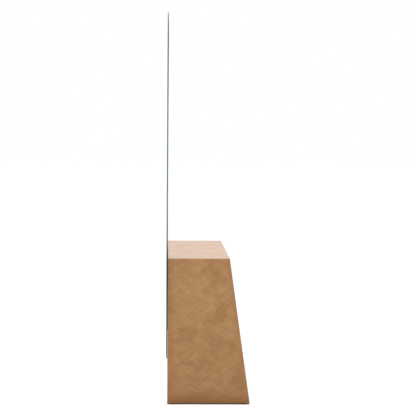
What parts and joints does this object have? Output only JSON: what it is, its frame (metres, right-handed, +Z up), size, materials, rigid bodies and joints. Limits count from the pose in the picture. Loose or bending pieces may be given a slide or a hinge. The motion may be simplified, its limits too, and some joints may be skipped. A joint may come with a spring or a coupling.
{
  "type": "vanity table with mirror",
  "caption": "Brass-clad portal dressing table with tapering ends, a pair of flush drawers and a large round frameless mirror fixed upright to its back.",
  "frame": {"origin": "on the floor, under the middle of the whole object's box", "axes": "+X to the right of a person seated at the table, +Y from the front towards the mirror, +Z up"},
  "size_m": [1.87, 0.4251, 2.021],
  "materials": {
    "brass_cladding": "hand-brushed in crossing strokes, lacquered, darker towards the floor",
    "blockboard": "raw blockboard, hidden",
    "drawer_wood": "oiled walnut, satin",
    "beech": "fluted beech, hidden",
    "suede_lining": "short suede nap",
    "mirror_glass": "silvered float glass with a polished green edge",
    "safety_film": "matt safety film",
    "rubber": "matt foam rubber",
    "nylon": "dark nylon",
    "turned_brass": "turned",
    "zinc_steel": "zinc plated",
    "bearing_steel": "polished",
    "screw_steel": "zinc plated"
  },
  "bodies": {
    "root": {"left_end_skin": "brass_cladding", "left_end_core": "blockboard", "left_end_inner_skin": "brass_cladding", "right_end_skin": "brass_cladding", "right_end_core": "blockboard", "right_end_inner_skin": "brass_cladding", "top_skin": "brass_cladding", "top_core": "blockboard", "back_rail": "blockboard", "bay_floor": "blockboard", "centre_divider": "blockboard", "underside_skin": "brass_cladding", "corner_brackets": "zinc_steel", "bracket_screws": "screw_steel", "glides": "nylon", "glide_screws": "screw_steel", "dowels": "beech", "floor_screws": "screw_steel", "mirror_glass": "mirror_glass", "mirror_safety_film": "safety_film", "mirror_cushions": "rubber", "mirror_screws": "screw_steel", "mirror_bushes": "nylon", "mirror_inserts": "turned_brass", "left_runner_rails": "zinc_steel", "left_rail_screws": "screw_steel", "right_runner_rails": "zinc_steel", "right_rail_screws": "screw_steel"},
    "left_drawer": {"left_drawer_front_skin": "brass_cladding", "left_drawer_front_core": "blockboard", "left_drawer_left_side": "drawer_wood", "left_drawer_right_side": "drawer_wood", "left_drawer_box_front": "drawer_wood", "left_drawer_box_back": "drawer_wood", "left_drawer_bottom": "drawer_wood", "left_drawer_lining": "suede_lining", "left_drawer_front_screws": "screw_steel", "left_runner_slides": "zinc_steel", "left_slide_screws": "screw_steel"},
    "left_runner_middle": {"left_runner_middles": "zinc_steel"},
    "left_outer_cages": {"left_outer_ball_cages": "bearing_steel"},
    "left_inner_cages": {"left_inner_ball_cages": "bearing_steel"},
    "right_drawer": {"right_drawer_front_skin": "brass_cladding", "right_drawer_front_core": "blockboard", "right_drawer_left_side": "drawer_wood", "right_drawer_right_side": "drawer_wood", "right_drawer_box_front": "drawer_wood", "right_drawer_box_back": "drawer_wood", "right_drawer_bottom": "drawer_wood", "right_drawer_lining": "suede_lining", "right_drawer_front_screws": "screw_steel", "right_runner_slides": "zinc_steel", "right_slide_screws": "screw_steel"},
    "right_runner_middle": {"right_runner_middles": "zinc_steel"},
    "right_outer_cages": {"right_outer_ball_cages": "bearing_steel"},
    "right_inner_cages": {"right_inner_ball_cages": "bearing_steel"}
  },
  "joints": [
    {"name": "left_drawer_slide", "type": "slide", "parent": "root", "child": "left_drawer", "axis": [0, -1, 0], "range_m": [0, 0.24]},
    {"name": "left_middle_slide", "type": "slide", "parent": "root", "child": "left_runner_middle", "axis": [0, -1, 0], "range_m": [0, 0.12]},
    {"name": "left_outer_cage_roll", "type": "slide", "parent": "root", "child": "left_outer_cages", "axis": [0, -1, 0], "range_m": [0, 0.06]},
    {"name": "left_inner_cage_roll", "type": "slide", "parent": "root", "child": "left_inner_cages", "axis": [0, -1, 0], "range_m": [0, 0.18]},
    {"name": "right_drawer_slide", "type": "slide", "parent": "root", "child": "right_drawer", "axis": [0, -1, 0], "range_m": [0, 0.24]},
    {"name": "right_middle_slide", "type": "slide", "parent": "root", "child": "right_runner_middle", "axis": [0, -1, 0], "range_m": [0, 0.12]},
    {"name": "right_outer_cage_roll", "type": "slide", "parent": "root", "child": "right_outer_cages", "axis": [0, -1, 0], "range_m": [0, 0.06]},
    {"name": "right_inner_cage_roll", "type": "slide", "parent": "root", "child": "right_inner_cages", "axis": [0, -1, 0], "range_m": [0, 0.18]}
  ],
  "couplings": [
    {"joint": "left_middle_slide", "follows": "left_drawer_slide", "ratio": 0.5},
    {"joint": "left_outer_cage_roll", "follows": "left_drawer_slide", "ratio": 0.25},
    {"joint": "left_inner_cage_roll", "follows": "left_drawer_slide", "ratio": 0.75},
    {"joint": "right_middle_slide", "follows": "right_drawer_slide", "ratio": 0.5},
    {"joint": "right_outer_cage_roll", "follows": "right_drawer_slide", "ratio": 0.25},
    {"joint": "right_inner_cage_roll", "follows": "right_drawer_slide", "ratio": 0.75}
  ]
}
